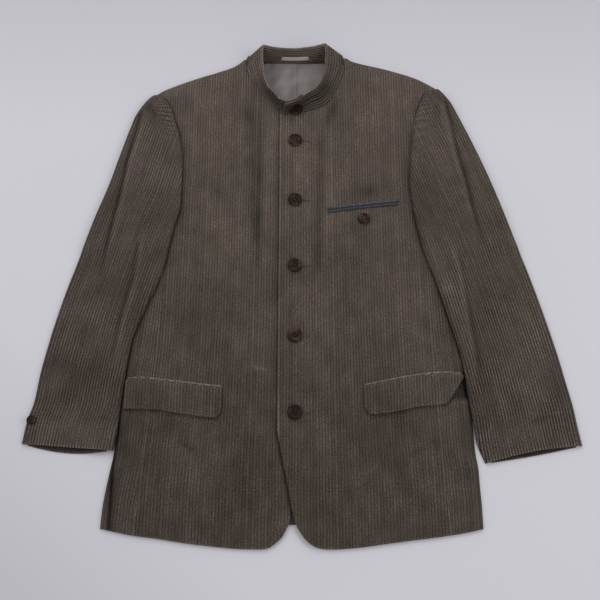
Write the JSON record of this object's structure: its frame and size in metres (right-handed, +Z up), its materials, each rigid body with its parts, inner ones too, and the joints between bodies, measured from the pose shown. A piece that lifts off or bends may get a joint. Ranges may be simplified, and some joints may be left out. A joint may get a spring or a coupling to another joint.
{
  "type": "mandarin collar jacket laid flat",
  "caption": "Wide-wale corduroy jacket laid flat, front up, with a standing band collar, buttoned front, flap hip pockets and a jetted chest pocket.",
  "frame": {"origin": "on the surface that the jacket lies on, below the middle of its overall width and length", "axes": "+Z up out of the surface, +Y from the hem towards the collar, +X towards the sleeve of the wearer's left arm"},
  "size_m": [0.8318, 0.8254, 0.0367],
  "materials": {
    "corduroy": "wide-wale corduroy, napped",
    "lining": "smooth grey lining",
    "tape": "woven pale tape",
    "satin": "blue-grey satin",
    "horn": "polished, marbled like horn"
  },
  "bodies": {
    "root": {"back_panel": "corduroy", "back_lining": "lining", "right_front": "corduroy", "left_front": "corduroy", "left_side_panel": "corduroy", "right_side_panel": "corduroy", "left_sleeve_top": "corduroy", "left_sleeve_under": "corduroy", "right_sleeve_top": "corduroy", "right_sleeve_under": "corduroy", "collar": "corduroy", "hanger_loop": "tape", "left_hip_flap": "corduroy", "left_hip_jet": "corduroy", "right_hip_flap": "corduroy", "right_hip_jet": "corduroy", "chest_jet_upper": "satin", "chest_jet_lower": "satin", "front_button_1": "horn", "front_button_2": "horn", "front_button_3": "horn", "front_button_4": "horn", "front_button_5": "horn", "chest_button": "horn", "collar_button": "horn", "cuff_button": "horn"}
  },
  "joints": []
}
